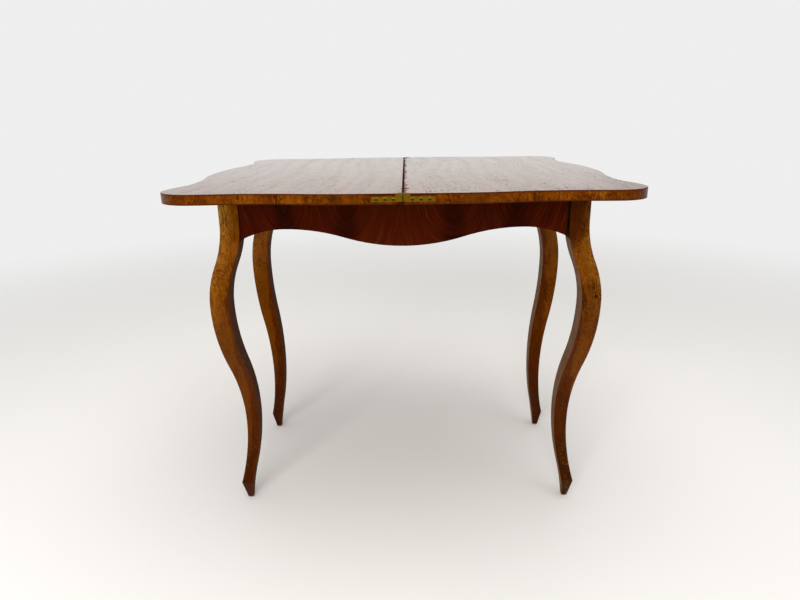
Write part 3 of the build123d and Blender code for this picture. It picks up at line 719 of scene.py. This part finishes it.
def old_metal(name, clean, tarnish, smoothest, metal_low, metal_high, shine=WHITE):
    """Metal gone dull, with tarnish in drifts and fine scratches."""
    material, tree = new_material(name)
    place = tree.millimetres()
    worn = tree.group(handled, Place=place, Smear_Size=7.0, Scratch_Length=9.0)
    speck = tree.noise(place, 3.0, 0.6, size=(0.9, 0.9, 0.9))
    colour = tree.lay(
        clean,
        (tree.step(worn["Smears"], 0.0, 1.0, 0.1, 0.85), tarnish),
        (tree.step(speck, 0.58, 0.72, 0.0, 0.6), tarnish),
    )
    rough = tree.plus(smoothest, tree.times(worn["Smears"], 0.18))
    metal = tree.step(worn["Smears"], 0.0, 1.0, metal_high, metal_low)
    finish(tree, colour, rough, worn["Scratches"], bump=0.2, depth=0.0001, Metallic=metal,
           Specular_IOR_Level=0.3, Specular_Tint=shine)
    return material


def slotted_brass():
    """Old brass screws, dark in the slot, with a painted shadow round the head and a painted highlight on the
    upper half of the rim.
    """
    material, tree = new_material("brass_screws_dark")
    place = tree.millimetres()
    axes = tree.split(place)
    aside, rise = tree.size(axes[0]), tree.minus(axes[2], SCREW_LEVEL)
    worn = tree.group(handled, Place=place, Smear_Size=2.5, Scratch_Length=4.0)
    side = tree.least(*(tree.size(tree.minus(aside, at)) for at in SCREW_PLACES))
    away = tree.math("SQRT", tree.plus(tree.times(side, side), tree.times(rise, rise)))
    away = tree.over(away, SCREW_RADIUS)
    colour = tree.lay(
        SCREW_GROUND,
        (tree.step(worn["Smears"], 0.0, 1.0, 0.0, 0.6), SCREW_TARNISH),
        (tree.times(tree.step(away, 0.55, 0.72), tree.step(rise, -0.3, 1.0)), SCREW_HIGHLIGHT),
        (tree.step(away, 0.90, 0.98), SCREW_OUTLINE),
    )
    rough = tree.step(worn["Smears"], 0.0, 1.0, 0.35, 0.55)
    metal = tree.step(worn["Smears"], 0.0, 1.0, 0.5, 0.2)
    finish(tree, colour, rough, worn["Scratches"], bump=0.2, depth=0.0001, Metallic=metal,
           Specular_IOR_Level=0.3, Specular_Tint=BRASS_SHINE)
    return material


# Which piece has which finish

CORE_EDGE = (1.6, 1.2)
APRON_EDGE = (APRON_END - 3.0, APRON_END - 2.0)


def paint(material, *names):
    """Gives solids of the frame a finish in place of their own."""
    for name in names:
        mesh = nodes[name].data
        mesh.materials.clear()
        mesh.materials.append(material)


# For each leg, by height: heart is where the dark heartwood ends, from the inner face at -1 to the outer
# at 1, freckled is how many dark spots it has, and shaded is how far it is darkened, partly in the wood's own
# tone and partly in painted shade
LEGS = {
    "front_left": dict(
        side_x=-1, side_y=-1, inner_brown=INNER_LEFT, inner_dullness=0.55, golden=1.0,
        pale_top_and_sheen=0.9, scuffed=0.3,
        heart=((0, 1.5), (60, 1.2), (127, 0.35), (178, 0.25), (253, 0.15), (302, -0.15), (349, -0.45),
               (420, -0.62), (500, -0.72), (560, -0.85), (612, -1.2), (720, -1.3)),
        freckled=((0, 0.6), (100, 0.45), (200, 0.2), (330, 0.2), (440, 0.4), (520, 0.3), (600, 0.15),
                  (720, 0.25)),
        shaded=((0, 0.0), (250, 0.05), (320, 0.2), (385, 0.24), (440, 0.1), (480, 0.0), (720, 0.0)),
    ),
    "front_right": dict(
        side_x=1, side_y=-1, inner_brown=INNER_RIGHT, inner_dullness=0.3, golden=0.75,
        scuffed=0.75,
        heart=((0, 1.5), (60, 1.4), (130, 0.9), (200, 0.7), (290, 0.7), (303, 0.7), (305, -0.25),
               (350, -0.35), (420, -0.72), (500, -0.9), (570, -1.3), (598, -0.9), (615, 0.1), (640, 0.6),
               (720, 0.9)),
        freckled=((0, 0.9), (150, 0.8), (290, 0.8), (310, 0.2), (400, 0.8), (440, 1.0), (520, 1.0),
                  (550, 0.1), (600, 0.15), (720, 0.4)),
        shaded=((0, 0.75), (50, 0.75), (110, 0.5), (160, 0.3), (250, 0.1), (343, 0.05), (400, 0.15),
                (450, 0.32), (490, 0.32), (530, 0.1), (560, 0.0), (720, 0.0)),
    ),
    "rear_left": dict(
        side_x=-1, side_y=1, inner_brown=INNER_LEFT, inner_dullness=0.6, golden=0.6,
        heart=((0, 1.5), (120, 0.8), (280, 0.0), (420, -0.75), (560, -1.1), (720, -1.3)),
        freckled=((0, 0.3), (300, 0.15), (720, 0.1)),
    ),
    "rear_right": dict(
        side_x=1, side_y=1, inner_brown=INNER_RIGHT, inner_dullness=0.3, golden=0.2,
        heart=((0, 1.5), (200, 0.9), (360, 0.1), (480, -0.5), (720, -0.7)),
        freckled=((0, 0.3), (300, 0.15), (720, 0.1)),
        shaded=((0, 0.3), (150, 0.1), (300, 0.0), (720, 0.0)),
    ),
}

for corner, look in LEGS.items():
    paint(leg_wood("leg_wood_" + corner, **look), "leg_" + corner)
paint(top_veneer(), "lower_leaf_veneer", "upper_leaf_veneer", "upper_leaf_back_veneer")
paint(edge_band(), "lower_leaf_band", "upper_leaf_band")
paint(apron_veneer(), "apron_veneer_front", "apron_veneer_rear", "apron_veneer_left", "apron_veneer_right")
# The open end of the front apron is painted black as the shade in the gap
paint(raw_pine("pine_open_joint", dirt_and_shade_reach=APRON_EDGE, about_y=90.0), "apron_front")
paint(raw_pine("pine_leaf_core", dirt_and_shade_reach=CORE_EDGE, dirt_and_shade_colours=EDGE_GRIME, about_x=90.0),
      "lower_leaf_core", "upper_leaf_core")
paint(raw_pine("pine_along_x", about_y=90.0), "apron_rear", "well_floor", "well_cleats")
paint(raw_pine("pine_along_y", about_x=90.0), "apron_left", "apron_right", "pivot_rail", "well_partition")
paint(raw_pine("pine_upright"), "glue_blocks", "stop_peg")
paint(old_metal("brass_tarnished", BRASS, BRASS_TARNISH, 0.36, 0.15, 0.4, BRASS_SHINE),
      "hinge_plate_front_lower", "hinge_plate_front_upper", "hinge_plate_rear_lower",
      "hinge_plate_rear_upper", "hinge_link_front", "hinge_link_rear", "hinge_pins")
paint(slotted_brass(), "hinge_screws_lower", "hinge_screws_upper")
paint(old_metal("steel_dull", STEEL, STEEL_TARNISH, 0.40, 0.6, 0.9),
      "pivot_plate", "pivot_bolt", "pivot_washer", "pivot_nut", "pivot_plate_screws", "well_screws")
paint(old_metal("glide_worn", IRON, IRON_TARNISH, 0.45, 0.1, 0.4), "foot_glides")


# A dark filler in the joint of the leaves: partly crumbs and dirt packed into it, partly painted shade of the
# gap

FILLER_HALF_LENGTH = 404.0
FILLER_HALF_WIDTH = 0.72
FILLER_FOOT = 719.0
FILLER_TOP = 729.0
FILLER_SHOULDER = 0.4
FILLER_RIPPLE = 0.5
FILLER_WAVE, FILLER_SWELL = 1.7, 0.61
FILLER_STEPS = 160


def joint_dirt_and_shade():
    """A narrow uneven ridge that fills the gap between the leaves."""
    corners, faces = [], []
    for step in range(FILLER_STEPS + 1):
        y = FILLER_HALF_LENGTH * (2 * step / FILLER_STEPS - 1)
        top = FILLER_TOP + FILLER_RIPPLE * math.sin(step * FILLER_WAVE) * math.cos(step * FILLER_SWELL)
        side = top - FILLER_SHOULDER
        ring = ((-1, FILLER_FOOT), (1, FILLER_FOOT), (1, side), (0, top), (-1, side))
        corners += [(x * FILLER_HALF_WIDTH * MM, y * MM, z * MM) for x, z in ring]
    size = len(ring)
    for step in range(FILLER_STEPS):
        for edge in range(size):
            near, far = step * size + edge, step * size + (edge + 1) % size
            faces.append((near, far, far + size, near + size))
    faces += [tuple(reversed(range(size))), tuple(range(FILLER_STEPS * size, FILLER_STEPS * size + size))]
    mesh = bpy.data.meshes.new("joint_dirt_and_shade")
    mesh.from_pydata(corners, [], faces)
    material, tree = new_material("dirt_and_shade_dark")
    # Dark, partly as dirt and partly as painted shade of the gap
    mottle = tree.noise(tree.millimetres(), 3.0, 0.6, size=(1.2, 3.0, 1.2))
    colour = tree.mix(tree.step(mottle, 0.3, 0.7), DIRT_AND_SHADE_DARK, DIRT_AND_SHADE_LIGHT)
    rough = tree.step(mottle, 0.3, 0.7, 0.8, 0.95)
    finish(tree, colour, rough, mottle, bump=0.4, depth=0.0003, Specular_IOR_Level=0.1)
    mesh.materials.append(material)
    piece = bpy.data.objects.new("joint_dirt_and_shade", mesh)
    scene.collection.objects.link(piece)
    return piece


dirt_and_shade_piece = joint_dirt_and_shade()
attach(dirt_and_shade_piece, "lower_leaf")


# Floor and surroundings. Lengths are in metres from here on

FLOOR_REACH = 6.0
FLOOR_FADE = (1.1, 3.6)
BACKDROP = 0.86
DAYLIGHT = 0.60


def pale_floor():
    """A wide plain floor that fades out into the pale surroundings."""
    material, tree = new_material("floor_pale")
    place = tree.add("ShaderNodeTexCoord").outputs["Object"]
    away = tree.add("ShaderNodeVectorMath", {0: place}, operation="LENGTH").outputs["Value"]
    matt = tree.add("ShaderNodeBsdfDiffuse", {"Color": FLOOR_COLOUR}).outputs[0]
    clear = tree.add("ShaderNodeBsdfTransparent").outputs[0]
    both = tree.add("ShaderNodeMixShader", {0: tree.step(away, *FLOOR_FADE), 1: matt, 2: clear})
    tree.put(tree.add("ShaderNodeOutputMaterial").inputs["Surface"], both.outputs[0])
    return material


corners = [(x * FLOOR_REACH, y * FLOOR_REACH, 0.0) for x, y in ((-1, -1), (1, -1), (1, 1), (-1, 1))]
floor_mesh = bpy.data.meshes.new("floor")
floor_mesh.from_pydata(corners, [], [(0, 1, 2, 3)])
floor_mesh.materials.append(pale_floor())
floor = bpy.data.objects.new("floor", floor_mesh)
scene.collection.objects.link(floor)

world = bpy.data.worlds.new("studio")
scene.world = world
world.use_nodes = True
world.node_tree.nodes.clear()
sky = Tree(world.node_tree)
rays = sky.add("ShaderNodeLightPath").outputs
seen = sky.most(rays["Is Camera Ray"], rays["Is Transmission Ray"])
aside, ahead, up = sky.split(sky.add("ShaderNodeTexCoord").outputs["Generated"])
# What the polish mirrors: a room that is dim low down towards the camera's side, and a little brighter or
# darker to the left, to the right and higher up
room = sky.pick(sky.step(up, 0.0, 0.10), sky.step(ahead, -0.7, 0.25, 0.06, 0.75), 0.75)
right = sky.step(aside, 0.26, 0.38, 1.03, 0.76)
left = sky.step(aside, -0.37, -0.22, 0.95, 1.0)
above = sky.step(up, 0.08, 0.135, 1.03, 0.86)
strength = sky.pick(rays["Is Glossy Ray"], DAYLIGHT, sky.times(room, right, left, above))
strength = sky.pick(seen, strength, BACKDROP)
light = sky.add("ShaderNodeBackground", {"Color": WHITE, "Strength": strength})
sky.put(sky.add("ShaderNodeOutputWorld").inputs["Surface"], light.outputs[0])


def lamp(name, place, target, width, height, watts):
    """A soft rectangular light aimed at a point, seen in no polish."""
    data = bpy.data.lights.new(name, "AREA")
    data.shape = "RECTANGLE"
    data.size = width
    data.size_y = height
    data.energy = watts
    light_object = bpy.data.objects.new(name, data)
    light_object.location = place
    light_object.rotation_euler = (Vector(target) - Vector(place)).to_track_quat("-Z", "Y").to_euler()
    light_object.visible_glossy = False
    scene.collection.objects.link(light_object)


lamp("window_light", place=(-0.9, -3.4, 1.9), target=(0.0, 0.0, 0.45), width=2.2, height=1.6, watts=95.0)
lamp("ceiling_light", place=(0.2, -0.4, 3.0), target=(0.0, 0.0, 0.3), width=2.4, height=2.4, watts=45.0)

# The camera stands where the photograph was taken from
CAMERA_PLACE = (0.0057, -1.3826, 0.8576)
PITCH = math.radians(-17.262)
ROLL = math.radians(-0.773)
YAW = math.radians(0.75)
LENS = 27.05
SENSOR = 36.0
NEAREST = 0.05

camera_data = bpy.data.cameras.new("camera")
camera_data.lens = LENS
camera_data.sensor_width = SENSOR
camera_data.clip_start = NEAREST
camera = bpy.data.objects.new("camera", camera_data)
turn = Matrix.Rotation(YAW, 4, "Z") @ Matrix.Rotation(math.pi / 2 + PITCH, 4, "X")
camera.matrix_world = Matrix.Translation(CAMERA_PLACE) @ turn @ Matrix.Rotation(ROLL, 4, "Z")
scene.collection.objects.link(camera)
scene.camera = camera
scene.view_settings.view_transform = "Standard"
